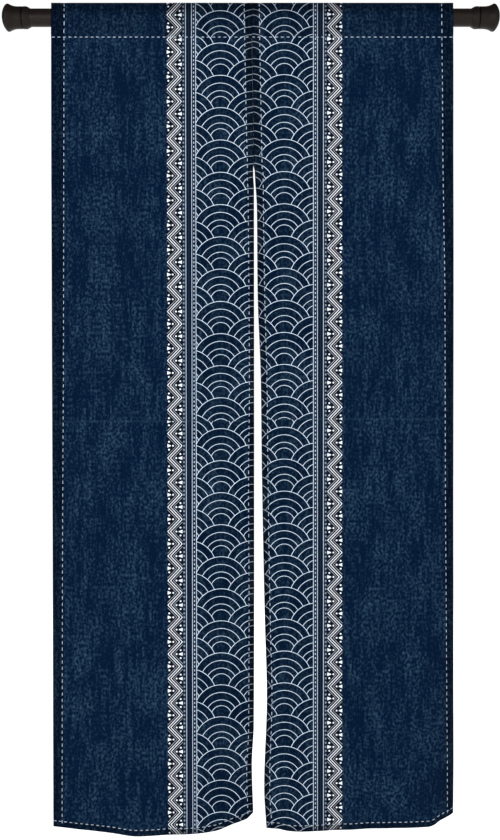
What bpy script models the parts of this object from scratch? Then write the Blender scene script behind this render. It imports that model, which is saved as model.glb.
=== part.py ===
"""Noren curtain: two cloth panels with a rod pocket, hung on a round rod with a collar and a flared foot at
each end.

Metres. X runs along the rod from the left foot's pad, Y away from the side that faces the viewer, Z up. The
origin is the middle of the left foot's pad, on the rod's axis.
"""

import math
from collections import namedtuple

import bmesh
import bpy

# Rod, collars and feet.
SPAN = 1.065
ROD_RADIUS = 0.0186
FIT_GAP = 0.0003
SOCKET_FLOOR = 0.016
FOOT_LENGTH = 0.0435
COLLAR_END = 0.059
BODY_RADIUS = 0.0229
PAD_RADIUS = 0.009
BROW_SETBACK = 0.0072
BROW_RADIUS = 0.0254
RIM_SETBACK = 0.0146
RIM_RADIUS = 0.0279
RIM_ROUNDING = 0.0058
DOME_RADIUS = 0.032
NECK_RADIUS = 0.036
NECK_END = 0.0315
END_BEVEL = 0.0016
COLLAR_RADIUS = 0.0231
COLLAR_BEVEL_START = 0.052
COLLAR_LIP = 0.0009
DOME_STEPS = 4
RIM_STEPS = 5
NECK_STEPS = 5
ROUND_SEGMENTS = 40
WELD_DISTANCE = 0.00001
SHARP_ANGLE = math.radians(35)

# Cloth.
CLOTH = 0.0015
LENGTH = 1.779
POCKET_CLEARANCE = 0.0008
CREASE_HEIGHT = 0.0325
POCKET_DEPTH = 0.074
ALLOWANCE = 0.012
SEAM_X = 0.5388
SEAM_LEAN = 0.0048
SLIT_TOP = 0.354
LEFT_EDGE_X = 0.1036
RIGHT_EDGE_X = 0.9673
WIDEST_COLUMN = 0.042
WIDEST_ROW = 0.135
ARC_STEPS = 5

# The seam leans: it starts SEAM_LEAN short of SEAM_X at the crease and reaches it at the top of the slit.
# Side edges of each panel, a row each: drop below the crease, how far the outer edge stands out from where it
# starts, and how far the slit edge stands back from the seam. The pocket is drawn in where it rounds the rod.
Edge = namedtuple("Edge", "drop outward slit")
LEFT_EDGES = (
    Edge(0.000, 0.0000, 0.0000),
    Edge(0.020, -0.0030, 0.0000),
    Edge(0.0325, -0.0039, 0.0000),
    Edge(0.042, -0.0034, 0.0000),
    Edge(0.074, -0.0002, 0.0000),
    Edge(SLIT_TOP, 0.0000, 0.0000),
    Edge(0.900, -0.0006, 0.0001),
    Edge(1.584, -0.0014, 0.0004),
    Edge(1.670, -0.0015, 0.0038),
    Edge(1.779, -0.0016, 0.0008),
)
RIGHT_EDGES = (
    Edge(0.000, 0.0000, 0.0000),
    Edge(0.020, -0.0031, 0.0000),
    Edge(0.0325, -0.0040, 0.0000),
    Edge(0.042, -0.0035, 0.0000),
    Edge(0.074, -0.0002, 0.0000),
    Edge(SLIT_TOP, 0.0011, 0.0000),
    Edge(0.440, 0.0019, 0.0066),
    Edge(0.620, 0.0032, 0.0082),
    Edge(0.811, 0.0043, 0.0150),
    Edge(1.026, 0.0056, 0.0176),
    Edge(1.326, 0.0083, 0.0236),
    Edge(1.498, 0.0098, 0.0281),
    Edge(1.690, 0.0119, 0.0223),
    Edge(1.779, 0.0120, 0.0272),
)

# Vertical folds of each panel, a row each: how far in from the outer edge, how far back the hem hangs there,
# the power by which that grows on the way down, and how far the hem is drawn up.
Fold = namedtuple("Fold", "inward back growth rise")
LEFT_FOLDS = (
    Fold(0.000, 0.020, 1.0, 0.004),
    Fold(0.018, 0.010, 1.8, 0.006),
    Fold(0.060, -0.002, 1.8, 0.005),
    Fold(0.110, -0.012, 1.8, 0.004),
    Fold(0.190, -0.025, 1.6, 0.000),
    Fold(0.250, -0.022, 1.6, 0.001),
    Fold(0.310, -0.015, 1.6, 0.001),
    Fold(0.350, -0.004, 1.8, 0.003),
    Fold(0.390, 0.010, 1.8, 0.013),
    Fold(0.417, 0.022, 1.8, 0.018),
    Fold(0.432, 0.030, 1.6, 0.029),
)
RIGHT_FOLDS = (
    Fold(0.000, 0.062, 1.3, 0.016),
    Fold(0.013, 0.042, 2.2, 0.017),
    Fold(0.036, 0.022, 2.4, 0.015),
    Fold(0.052, 0.012, 2.4, 0.009),
    Fold(0.064, 0.010, 2.2, 0.006),
    Fold(0.120, 0.009, 1.8, 0.004),
    Fold(0.240, 0.003, 1.6, 0.003),
    Fold(0.340, -0.002, 1.6, 0.000),
    Fold(0.366, 0.000, 1.6, 0.001),
    Fold(0.388, 0.003, 1.6, 0.005),
    Fold(0.412, 0.006, 1.4, 0.006),
)

# Colour, roughness and how metallic.
Finish = namedtuple("Finish", "colour roughness metallic")
INDIGO_CLOTH = Finish((0.010, 0.030, 0.085), 0.9, 0.0)
BRONZE_LACQUER = Finish((0.020, 0.016, 0.013), 0.45, 0.6)
BRONZE_MOULDING = Finish((0.014, 0.012, 0.010), 0.6, 0.0)


def clear_scene():
    for item in list(bpy.data.objects):
        bpy.data.objects.remove(item, do_unlink=True)


def material(name, finish):
    made = bpy.data.materials.new(name)
    made.use_nodes = True
    shader = made.node_tree.nodes["Principled BSDF"]
    shader.inputs["Base Color"].default_value = (*finish.colour, 1.0)
    shader.inputs["Roughness"].default_value = finish.roughness
    shader.inputs["Metallic"].default_value = finish.metallic
    made.diffuse_color = (*finish.colour, 1.0)
    return made


def smooth(places, values, at):
    """A smooth curve through (place, value) rows that doesn't overshoot them."""
    secants = [
        (values[i + 1] - values[i]) / (places[i + 1] - places[i])
        for i in range(len(places) - 1)
    ]
    slopes = [secants[0]]
    for before, after in zip(secants, secants[1:]):
        turns = before * after <= 0
        slopes.append(0.0 if turns else 2 * before * after / (before + after))
    slopes.append(secants[-1])
    at = min(max(at, places[0]), places[-1])
    i = next(k for k in range(len(secants)) if at <= places[k + 1])
    gap = places[i + 1] - places[i]
    t = (at - places[i]) / gap
    return (
        values[i] * (1 + 2 * t) * (1 - t) ** 2
        + values[i + 1] * t * t * (3 - 2 * t)
        + gap * t * (1 - t) * (slopes[i] * (1 - t) - slopes[i + 1] * t)
    )


def column_of(rows, name, place, at):
    places = [getattr(row, place) for row in rows]
    values = [getattr(row, name) for row in rows]
    return smooth(places, values, at)


def divided(stops, widest):
    """The stops, with each wider step cut into equal smaller ones."""
    found = [stops[0]]
    for low, high in zip(stops, stops[1:]):
        steps = math.ceil((high - low) / widest)
        found += [low + (high - low) * k / steps for k in range(1, steps + 1)]
    return found


def pocket_path():
    """(y, z) along the middle of the cloth, from the stitch line up the front, over the rod and down to the
    end of the turned-under allowance behind. Its straight runs are tangents of one circle a little clear of
    the rod."""
    radius = ROD_RADIUS + POCKET_CLEARANCE + CLOTH / 2
    layer = (CLOTH + FIT_GAP) / 2
    crest = CREASE_HEIGHT - CLOTH / 2
    stitch = CREASE_HEIGHT - POCKET_DEPTH
    upper = math.asin(radius / crest)
    lower = math.asin(radius / -stitch) - math.atan2(layer, -stitch)
    arc = [-lower + (lower + upper) * step / ARC_STEPS for step in range(ARC_STEPS + 1)]
    front = [(-layer, stitch)]
    front += [(-radius * math.cos(a), radius * math.sin(a)) for a in arc]
    back = [(-y, z) for y, z in reversed(front)]
    return front + [(0.0, crest)] + back + [(layer, stitch - ALLOWANCE)]


def panel(name, edge_x, seam_x, edges, folds):
    """The cloth's middle surface, a column for each fold and a row for each section, given its thickness by
    Solidify."""
    inward = 1 if seam_x > edge_x else -1
    path = pocket_path()
    sheet_y = path[0][0]
    first_drop = POCKET_DEPTH + ALLOWANCE
    columns = divided([fold.inward for fold in folds], WIDEST_COLUMN)
    full = columns[-1]
    drops = divided([first_drop] + [edge.drop for edge in edges if edge.drop > first_drop], WIDEST_ROW)

    def across(place, drop):
        outer = edge_x - inward * column_of(edges, "outward", "drop", drop)
        seam = seam_x - SEAM_LEAN * max(0.0, 1.0 - drop / SLIT_TOP)
        slit = seam - inward * (FIT_GAP / 2 + column_of(edges, "slit", "drop", drop))
        return outer + (slit - outer) * place / full

    mesh = bmesh.new()
    rows = []
    for drop in reversed(drops):
        fraction = (drop - first_drop) / (LENGTH - first_drop)
        row = []
        for place in columns:
            back = column_of(folds, "back", "inward", place)
            growth = column_of(folds, "growth", "inward", place)
            rise = column_of(folds, "rise", "inward", place) * fraction
            point = (
                across(place, drop),
                sheet_y + back * fraction**growth,
                CREASE_HEIGHT - drop + rise,
            )
            row.append(mesh.verts.new(point))
        rows.append(row)
    for y, z in path:
        drop = CREASE_HEIGHT - z
        rows.append([mesh.verts.new((across(place, drop), y, z)) for place in columns])
    for lower, upper in zip(rows, rows[1:]):
        for k in range(len(columns) - 1):
            mesh.faces.new((lower[k], lower[k + 1], upper[k + 1], upper[k]))
    if inward < 0:
        bmesh.ops.reverse_faces(mesh, faces=mesh.faces[:])
    made = add_object(name, mesh, material(name, INDIGO_CLOTH))
    solid = made.modifiers.new("cloth", "SOLIDIFY")
    solid.thickness = CLOTH
    solid.offset = 0.0
    solid.use_even_offset = True
    return made


def add_object(name, mesh, finish):
    data = bpy.data.meshes.new(name)
    mesh.to_mesh(data)
    mesh.free()
    data.shade_smooth()
    data.set_sharp_from_angle(angle=SHARP_ANGLE)
    data.materials.append(finish)
    made = bpy.data.objects.new(name, data)
    bpy.context.scene.collection.objects.link(made)
    return made


def turned(name, profile, finish):
    """A closed outline of (distance along X, radius) turned about the X axis."""
    mesh = bmesh.new()
    points = [mesh.verts.new((along, 0.0, radius)) for along, radius in profile]
    lines = [mesh.edges.new(ends) for ends in zip(points, points[1:] + points[:1])]
    bmesh.ops.spin(
        mesh,
        geom=points + lines,
        cent=(0.0, 0.0, 0.0),
        axis=(1.0, 0.0, 0.0),
        angle=2 * math.pi,
        steps=ROUND_SEGMENTS,
        use_merge=True,
    )
    bmesh.ops.remove_doubles(mesh, verts=mesh.verts[:], dist=WELD_DISTANCE)
    bmesh.ops.recalc_face_normals(mesh, faces=mesh.faces[:])
    return add_object(name, mesh, finish)


def arc_points(start, radius, end, steps):
    """Points on the arc of that radius from start to end, both left out, bulging to the left of the way for
    a positive radius and to the right for a negative one."""
    (x0, r0), (x1, r1) = start, end
    half = math.hypot(x1 - x0, r1 - r0) / 2
    heading = math.atan2(r1 - r0, x1 - x0)
    turn = math.asin(half / radius)
    height = half / math.tan(turn)
    cx = (x0 + x1) / 2 + height * math.sin(heading)
    cr = (r0 + r1) / 2 - height * math.cos(heading)
    first = math.atan2(r0 - cr, x0 - cx)
    return [
        (
            cx + abs(radius) * math.cos(first - 2 * turn * k / steps),
            cr + abs(radius) * math.sin(first - 2 * turn * k / steps),
        )
        for k in range(1, steps)
    ]


def foot_profile():
    """The flared foot: a flat pad, a dome, a rounded rim, a hollow neck and a blind socket for the rod."""
    socket = ROD_RADIUS + FIT_GAP
    pad = (0.0, PAD_RADIUS)
    brow = (BROW_SETBACK, BROW_RADIUS)
    rim = (RIM_SETBACK, RIM_RADIUS)
    neck = (NECK_END, BODY_RADIUS)
    shoulder = (FOOT_LENGTH - END_BEVEL, BODY_RADIUS)
    return (
        [(0.0, 0.0), pad]
        + arc_points(pad, DOME_RADIUS, brow, DOME_STEPS)
        + [brow]
        + arc_points(brow, RIM_ROUNDING, rim, RIM_STEPS)
        + [rim]
        + arc_points(rim, -NECK_RADIUS, neck, NECK_STEPS)
        + [neck, shoulder, (FOOT_LENGTH, BODY_RADIUS - END_BEVEL)]
        + [(FOOT_LENGTH, socket), (SOCKET_FLOOR, socket), (SOCKET_FLOOR, 0.0)]
    )


def collar_profile():
    """The ring between the foot and the bare rod, with a long bevel on the rod's side."""
    bore = ROD_RADIUS + FIT_GAP
    start = FOOT_LENGTH + FIT_GAP
    return [
        (start, bore),
        (start, COLLAR_RADIUS - END_BEVEL),
        (start + END_BEVEL, COLLAR_RADIUS),
        (COLLAR_BEVEL_START, COLLAR_RADIUS),
        (COLLAR_END, bore + COLLAR_LIP),
        (COLLAR_END, bore),
    ]


def rod_profile():
    start = SOCKET_FLOOR + FIT_GAP
    return [
        (start, 0.0),
        (start, ROD_RADIUS),
        (SPAN - start, ROD_RADIUS),
        (SPAN - start, 0.0),
    ]


def mirrored(profile):
    return [(SPAN - along, radius) for along, radius in profile]


def build():
    clear_scene()
    panel("panel_left", LEFT_EDGE_X, SEAM_X, LEFT_EDGES, LEFT_FOLDS)
    panel("panel_right", RIGHT_EDGE_X, SEAM_X, RIGHT_EDGES, RIGHT_FOLDS)
    turned("rod_tube", rod_profile(), material("rod", BRONZE_LACQUER))
    moulded = material("moulding", BRONZE_MOULDING)
    turned("foot_left", foot_profile(), moulded)
    turned("foot_right", mirrored(foot_profile()), moulded)
    turned("collar_left", collar_profile(), moulded)
    turned("collar_right", mirrored(collar_profile()), moulded)


build()
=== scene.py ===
import math
from collections import namedtuple

import bmesh
import bpy
import numpy as np
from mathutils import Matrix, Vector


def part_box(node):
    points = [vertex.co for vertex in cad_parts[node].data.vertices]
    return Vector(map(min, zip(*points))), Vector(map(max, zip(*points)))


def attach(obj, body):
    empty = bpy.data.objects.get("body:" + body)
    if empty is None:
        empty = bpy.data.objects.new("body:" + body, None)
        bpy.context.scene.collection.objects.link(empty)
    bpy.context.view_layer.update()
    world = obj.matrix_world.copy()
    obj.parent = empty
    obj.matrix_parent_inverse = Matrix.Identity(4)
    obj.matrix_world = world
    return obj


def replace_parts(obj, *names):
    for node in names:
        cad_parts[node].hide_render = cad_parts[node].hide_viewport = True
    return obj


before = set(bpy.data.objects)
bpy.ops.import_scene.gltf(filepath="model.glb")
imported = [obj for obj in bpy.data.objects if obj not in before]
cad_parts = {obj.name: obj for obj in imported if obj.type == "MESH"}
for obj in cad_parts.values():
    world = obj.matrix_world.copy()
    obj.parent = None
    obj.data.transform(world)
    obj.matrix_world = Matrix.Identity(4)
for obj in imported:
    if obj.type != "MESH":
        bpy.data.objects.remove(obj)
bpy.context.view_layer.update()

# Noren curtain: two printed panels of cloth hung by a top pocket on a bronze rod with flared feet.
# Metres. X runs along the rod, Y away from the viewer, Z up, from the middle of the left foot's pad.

# Rod, collars and feet.
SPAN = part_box("foot_right")[1].x
ROD_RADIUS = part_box("rod_tube")[1].z
SOCKET_FLOOR = 0.016
FIT_GAP = 0.0003
FOOT_LENGTH = 0.0435
BODY_RADIUS = 0.0229
PAD_RADIUS = 0.009
BROW_SETBACK = 0.0072
BROW_RADIUS = 0.0254
RIM_SETBACK = 0.0146
RIM_RADIUS = 0.0279
RIM_ROUNDING = 0.0058
DOME_RADIUS = 0.032
NECK_RADIUS = 0.036
NECK_END = 0.0315
END_ROUNDING = 0.0016
# A touch flatter than a quarter circle.
END_ARC_RADIUS = END_ROUNDING * 1.02
COLLAR_RADIUS = 0.0231
COLLAR_BEVEL_START = 0.052
COLLAR_END = 0.059
COLLAR_LIP = 0.0009
DOME_STEPS = 12
RIM_STEPS = 12
NECK_STEPS = 14
END_STEPS = 4
ROUND_SEGMENTS = 96
WELD_DISTANCE = 0.00001
SHARP_ANGLE = math.radians(32)

# Cloth.
PLY = 0.0006
LENGTH = 1.779
CREASE_HEIGHT = 0.0325
CREST_HEIGHT = CREASE_HEIGHT - PLY / 2
POCKET_DEPTH = 0.074
ALLOWANCE = 0.012
POCKET_CLEARANCE = 0.0008
POCKET_RADIUS = ROD_RADIUS + POCKET_CLEARANCE + PLY
POCKET_LAYER = 0.0009
POCKET_STEPS = 40
POCKET_FADE = 0.002
SEAM_X = 0.5388
SEAM_LEAN = 0.0048
SLIT_TOP = 0.354
SEAM_GAP = 0.00003
FOOT_HEM = 0.013
HEM_TURN = 0.0014
HEM_FADE = 0.0006
ROLL_WIDTH = 0.0025
EDGE_ROUNDING = 0.0007
EDGE_THINNEST = 0.25
PUCKER_DEPTH = 0.00022
PUCKER_WIDTH = 0.0011
QUILTING = 0.00035
QUILTING_REACH = 0.006
NORMAL_STEP = 0.0004

# Rows and columns of the cloth's mesh, set close together at the edges, the crease and the stitches.
WIDEST_COLUMN = 0.0058
WIDEST_ROW = 0.0052
POCKET_ROW = 0.003
BOTH_HEMS = 0.03
STITCH_STOPS = (-0.0022, -0.0011, 0.0, 0.0011, 0.0022)
EDGE_STOPS = (0.0, 0.00015, 0.0004, 0.0008, 0.0015, 0.0025)
CREASE_STOPS = (-0.0018, -0.0009, -0.0003, 0.0003, 0.0009, 0.0018)
SIDE_HEM_SHARES = (0.2, 0.4, 0.6, 0.8)
SLIT_HEM_SHARES = (0.4, 0.6, 0.8)
WIDE_ROOM = 0.004
TIGHT_ROOM = 0.003

# Layout of the sheet for baking: where the printed face is cut in two, and the scale of each strip.
BAKE_CUT = 0.85
BAKE_FRONT = 0.95
BAKE_BEHIND = 0.40
BAKE_BEHIND_SQUEEZE = 0.8
BAKE_MARGIN = 0.006
HAIR = 1e-9

# The eye that the printed design is set out for, and that the camera stands at.
EYE_X = 0.5308
EYE_DISTANCE = 2.2
EYE_HEIGHT = -0.8636
SIGHT_METRES = 1.8035

# Side edges of each panel, a row each: drop below the crease, how far the outer edge stands out from where it
# starts, and how far the slit edge stands back from the seam. The pocket is drawn in where it rounds the rod.
Edge = namedtuple("Edge", "drop outward slit")
# Vertical folds, a row each: how far in from the outer edge, how far back the hem hangs there, the power by
# which that grows on the way down, and how far the hem is drawn up.
Fold = namedtuple("Fold", "inward back growth rise")
# Width of the side hem and of the slit hem, from the edge to the stitches.
Hem = namedtuple("Hem", "drop side slit")
# Gentle unevenness: height, spacing across, spacing down and where along it the panel starts, in turns.
Ripple = namedtuple("Ripple", "height across down start")
# How far up the print has crept from its even repeat.
Creep = namedtuple("Creep", "drop by")
Panel = namedtuple("Panel", "name edge_x inward edges folds hems ripples creeps shear seed")

LEFT = Panel(
    "left",
    0.1036,
    1,
    (
        Edge(0.000, 0.0000, 0.0000),
        Edge(0.020, -0.0030, 0.0000),
        Edge(0.0325, -0.0039, 0.0000),
        Edge(0.042, -0.0034, 0.0000),
        Edge(0.074, -0.0002, 0.0000),
        Edge(SLIT_TOP, 0.0000, 0.0000),
        Edge(0.360, 0.0000, 0.0011),
        Edge(0.378, 0.0000, 0.0009),
        Edge(0.405, -0.0001, -0.0007),
        Edge(0.900, -0.0006, -0.0010),
        Edge(1.300, -0.0011, -0.0012),
        Edge(1.584, -0.0014, -0.0004),
        Edge(1.670, -0.0015, 0.0038),
        Edge(LENGTH, -0.0016, 0.0008),
    ),
    (
        Fold(0.000, 0.020, 1.0, 0.004),
        Fold(0.018, 0.010, 1.8, 0.006),
        Fold(0.060, -0.002, 1.8, 0.005),
        Fold(0.110, -0.012, 1.8, 0.004),
        Fold(0.190, -0.025, 1.6, 0.000),
        Fold(0.250, -0.022, 1.6, 0.001),
        Fold(0.310, -0.015, 1.6, 0.001),
        Fold(0.350, -0.004, 1.8, 0.003),
        Fold(0.390, 0.010, 1.8, 0.013),
        Fold(0.417, 0.022, 1.8, 0.018),
        Fold(0.432, 0.030, 1.6, 0.029),
    ),
    (
        Hem(0.000, 0.0283, 0.0160),
        Hem(0.275, 0.0276, 0.0144),
        Hem(0.361, 0.0273, 0.0132),
        Hem(0.832, 0.0256, 0.0103),
        Hem(1.047, 0.0243, 0.0123),
        Hem(1.304, 0.0229, 0.0113),
        Hem(LENGTH, 0.0212, 0.0118),
    ),
    (
        Ripple(0.0011, 0.171, 2.9, 0.10),
        Ripple(0.0006, 0.093, 1.7, 0.62),
        Ripple(0.0004, 0.057, -1.1, 0.35),
    ),
    (
        Creep(0.500, 0.0000),
        Creep(0.690, 0.0004),
        Creep(0.840, 0.0016),
        Creep(1.000, 0.0018),
        Creep(1.360, 0.0019),
        Creep(1.530, 0.0023),
        Creep(1.660, 0.0037),
        Creep(LENGTH, 0.0044),
    ),
    0.0032,
    3.0,
)
RIGHT = Panel(
    "right",
    0.9673,
    -1,
    (
        Edge(0.000, 0.0000, 0.0000),
        Edge(0.020, -0.0031, 0.0000),
        Edge(0.0325, -0.0040, 0.0000),
        Edge(0.042, -0.0035, 0.0000),
        Edge(0.074, -0.0002, 0.0000),
        Edge(SLIT_TOP, 0.0011, 0.0000),
        Edge(0.360, 0.0012, 0.0017),
        Edge(0.378, 0.0013, 0.0026),
        Edge(0.440, 0.0019, 0.0066),
        Edge(0.620, 0.0032, 0.0082),
        Edge(0.811, 0.0043, 0.0150),
        Edge(1.026, 0.0056, 0.0176),
        Edge(1.326, 0.0083, 0.0236),
        Edge(1.498, 0.0098, 0.0281),
        Edge(1.690, 0.0119, 0.0223),
        Edge(LENGTH, 0.0120, 0.0272),
    ),
    (
        Fold(0.000, 0.062, 1.3, 0.016),
        Fold(0.013, 0.042, 2.2, 0.017),
        Fold(0.036, 0.022, 2.4, 0.015),
        Fold(0.052, 0.012, 2.4, 0.009),
        Fold(0.064, 0.010, 2.2, 0.006),
        Fold(0.120, 0.009, 1.8, 0.004),
        Fold(0.240, 0.003, 1.6, 0.003),
        Fold(0.340, -0.002, 1.6, 0.000),
        Fold(0.366, 0.000, 1.6, 0.001),
        Fold(0.388, 0.003, 1.6, 0.005),
        Fold(0.412, 0.006, 1.4, 0.006),
    ),
    (
        Hem(0.000, 0.0238, 0.0155),
        Hem(0.275, 0.0227, 0.0167),
        Hem(0.361, 0.0226, 0.0172),
        Hem(0.447, 0.0224, 0.0136),
        Hem(0.619, 0.0208, 0.0149),
        Hem(0.790, 0.0211, 0.0133),
        Hem(1.000, 0.0214, 0.0130),
        Hem(1.540, 0.0196, 0.0112),
        Hem(LENGTH, 0.0178, 0.0123),
    ),
    (
        Ripple(0.0010, 0.150, -2.6, 0.80),
        Ripple(0.0006, 0.087, 1.9, 0.15),
        Ripple(0.0004, 0.061, 1.2, 0.55),
    ),
    (
        Creep(0.000, 0.0013),
        Creep(0.340, 0.0015),
        Creep(0.510, 0.0019),
        Creep(0.690, 0.0030),
        Creep(0.840, 0.0044),
        Creep(0.980, 0.0052),
        Creep(1.180, 0.0053),
        Creep(1.360, 0.0058),
        Creep(1.530, 0.0069),
        Creep(1.660, 0.0084),
        Creep(LENGTH, 0.0092),
    ),
    0.0,
    11.0,
)

# Stitches: pitch, length of the thread that shows, and where the first one's middle is.
Run = namedtuple("Run", "pitch length first")
DOWN_RUN = Run(0.01385, 0.0087, 0.0078)
ACROSS_RUN = Run(0.0119, 0.0074, 0.0049)
THREAD_WIDTH = 0.0018
THREAD_HEIGHT = 0.0011
THREAD_STEPS = 7
THREAD_SIDES = 6
# Two quads close each end of a thread: which ring they are on, and their corners in order.
THREAD_CAPS = ((0, (0, 5, 4, 3)), (0, (3, 2, 1, 0)), (-1, (0, 1, 2, 3)), (-1, (3, 4, 5, 0)))
THREAD_TIP = 0.06
THREAD_LIFT = 0.30
THREAD_DIVE = 0.62
THREADS_APART = 0.05
RUN_MARGIN = 0.0008
SHORTEST_STITCH = 1 / 3

# Printed design, measured from its middle line.
BORDER_X = 0.5403
WAVE_X = 0.5356
WAVE_COLUMN = 0.0688
WAVE_PERIOD = 0.0694
WAVE_FIRST = 0.0512
WAVE_LINE = 0.00116
# Arcs of one scale: radius, drop of its top below the outer arc's top, and how bright it is.
Arc = namedtuple("Arc", "radius top light")
OUTER_RADIUS = 0.0590
INNER_ARCS = (Arc(0.0450, 0.0172, 0.92), Arc(0.0333, 0.0335, 0.90), Arc(0.0221, 0.0459, 0.88))
# The pressed fold at mid height, where a little of the repeat is lost and the print below is a touch denser.
FOLD_DROP = 0.8998
FOLD_SLOPE = -0.0034
FOLD_LOSS = 0.0029
DENSER = 1.0087
# Moves a scale that isn't there far above the cloth.
OUT_OF_THE_WAY = 10.0

# Upright lines and dot columns of the border: distance from the middle line, width and light.
Line = namedtuple("Line", "at width light")
PIN_LINES = (Line(0.1266, 0.0015, 0.70), Line(0.1354, 0.0014, 0.66), Line(0.1481, 0.0015, 0.62))
FAINT_LINE = Line(0.1418, 0.0030, 0.013)
FAINT_SOFTNESS = 0.001
Dots = namedtuple("Dots", "at width height light")
DOT_COLUMNS = (Dots(0.1310, 0.0022, 0.0042, 0.60), Dots(0.1529, 0.0034, 0.0042, 0.30))
DOT_PITCH = 0.00885
BORDER = (0.1264, 0.1570)
DARK_BAND = (0.1365, 0.1470)
ZIGZAG_BAND = (0.1565, 0.1885)
BORDER_FADE = 0.0010
BAND_FADE = 0.0004
ZIGZAG_FADE = (0.0002, 0.0003)
ZIGZAG_PERIOD = 0.0531
ZIGZAG_PEAK = 0.0264
ZIGZAG_DEPTH = 0.0251
ZIGZAG_INNERMOST = 0.1512
ZIGZAG_SPACING = 0.0059
ZIGZAG_FOLD_LOSS = 0.0020
# How far up the right border has crept past the waves beside it, for each metre down.
RIGHT_ZIGZAG_CREEP = 0.0035
ZIGZAG_LINES = (Line(0, 0.0010, 0.58), Line(1, 0.0021, 1.0), Line(2, 0.0021, 1.0), Line(3, 0.0010, 0.58))
# Motifs in the zigzag's bays: one dot on the axis, a flaring wedge and a pair of dots beside it.
Bay = namedtuple("Bay", "dot wedge_tip wedge_foot pair")
OUTER_BAY = Bay(0.1765, 0.1812, 0.1885, 0.1852)
INNER_BAY = Bay(0.1696, 0.1647, 0.1565, 0.1607)
DOT_RADIUS = 0.0019
PAIR_OFFSET = 0.0086
WEDGE_TIP = 0.0009
WEDGE_FOOT = 0.0039
WEDGE_SOFTNESS = 0.0003
PRINT_SOFTNESS = 0.00027
FIELD_SOFTNESS = 0.0002
Design = namedtuple("Design", "pale white navy black waves fold")

# Weave: the pitch of its threads and how much of each crossing the change from one to the other takes.
THREAD_PITCH = 0.0009
CROSSING = 0.15
CLOTH_BUMP = 0.00022
WEAVE_RELIEF = 0.6
SLUB_RELIEF = 0.8
RIDGE_RELIEF = 0.5
RIDGE_HALF = 0.0010
RIDGE_SOFTNESS = 0.0016
CLOTH_ROUGHNESS = 0.95
CLOTH_SPECULAR = 0.02

# Noises: about how wide and high their patches are, which noise it is, its detail and its roughness.
Grain = namedtuple("Grain", "width height seed detail roughness", defaults=(1.0, 0.5))
PATCH = Grain(0.060, 0.110, 0.0, 2.0, 0.6)
BRUSHED = Grain(0.0105, 0.125, 7.0, 2.0, 0.6)
STREAK = Grain(0.0040, 0.030, 31.0)
FLECK = Grain(0.0052, 0.0066, 20.0, 1.5)
UPRIGHT_SLUB = Grain(0.0011, 0.030, 40.0)
LEVEL_SLUB = Grain(0.030, 0.0011, 50.0)
REVERSE_FLECK = Grain(0.0040, 0.0046, 0.0)
FUZZ = Grain(0.0008, 0.3, 5.0)
EACH_STITCH = Grain(0.040, 50.0, 9.0)
CLOUD = Grain(0.020, 0.012, 1.0, 2.0)
HANDLED = Grain(0.006, 0.004, 8.0, 2.0)
ROD_SPECK = Grain(0.0012, 0.0012, 4.0, 2.0)
MOULDED_SPECK = Grain(0.0008, 0.0008, 4.0, 2.0)
REVERSE_SEED = 100.0

# Dry-brushed dye: what makes a spot dry, and how much lighter than wet dye it and its flecks are.
PATCH_SHARE = 0.40
BRUSHED_SHARE = 0.45
STREAK_SHARE = 0.15
WET_BELOW = 0.36
DRY_ABOVE = 0.66
DRY_FLECKS = 2.5
WET_FLECKS = 0.9
SLUB_LIGHT = 0.20
DRY_LIGHT = 0.56
BRIGHT_FLECKS = 0.6
STREAK_LIGHT = 0.60
MEAN_LIGHT = 0.18
MOST_LIGHT = 1.6

# Print, mid-height fold and shade: how worn the print is, and how much darker hem, edge and pocket are.
WORN_BY_FLECK = 0.55
WORN_BY_SLUB = 0.35
WORN_MEAN = 0.96
FOLD_HALF = 0.0018
FOLD_SOFTNESS = 0.0022
FOLD_LIGHT = 0.17
HEM_SHADE = 0.50
ROLL_SHADE = 0.45
POCKET_SHADE = 0.26

# Reverse of the cloth.
SHOWING_THROUGH = 0.9
REVERSE_DARK = 0.6
REVERSE_FLECKS = 0.9
REVERSE_SLUBS = 0.7

# Thread.
TWIST_PITCH = 0.0013
TWIST_LIGHT = 0.10
FUZZ_LIGHT = 0.4
STITCH_LIGHT = 0.5
THREAD_LIGHT = 0.95
THREAD_ROUGHNESS = 0.8
THREAD_SPECULAR = 0.15
THREAD_BUMP = 0.00010

# Lacquer, and the painted shade that darkens it in the groove between foot and collar.
ROD_ROUGHNESS = 0.42
MOULDED_ROUGHNESS = 0.50
CLOUD_LIGHT = 0.7
SPECK_LIGHT = 0.5
HANDLED_ROUGHNESS = 0.25
CLOUD_ROUGHNESS = 0.15
GROOVE_HALF = 0.0008
GROOVE_REACH = 0.0034
GROOVE_LIGHT = 0.18
LACQUER_SPECULAR = 0.11
LACQUER_BUMP = 0.00005

# Colours, linear.
NAVY = (0.0012, 0.0080, 0.0275)
TEAL = (0.0170, 0.0425, 0.0800)
WAVE_NAVY = (0.0012, 0.0068, 0.0205)
WAVE_TEAL = (0.0140, 0.0330, 0.0600)
NEAR_BLACK = (0.0014, 0.0044, 0.0130)
DEEP_NAVY = (0.0016, 0.0072, 0.0210)
FOLD_TINT = (0.030, 0.075, 0.115)
PALE_PRINT = (0.70, 0.82, 1.0)
WHITE_PRINT = (0.86, 0.91, 0.97)
REVERSE = (0.030, 0.050, 0.085)
REVERSE_PRINT = (0.16, 0.20, 0.27)
THREAD = (0.40, 0.47, 0.58)
BRONZE = (0.0098, 0.0065, 0.0052)
MOULDING = (0.0076, 0.0054, 0.0040)
FLOOR_GREY = (0.93, 0.93, 0.93, 1.0)
WHITE = (1.0, 1.0, 1.0, 1.0)

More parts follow.
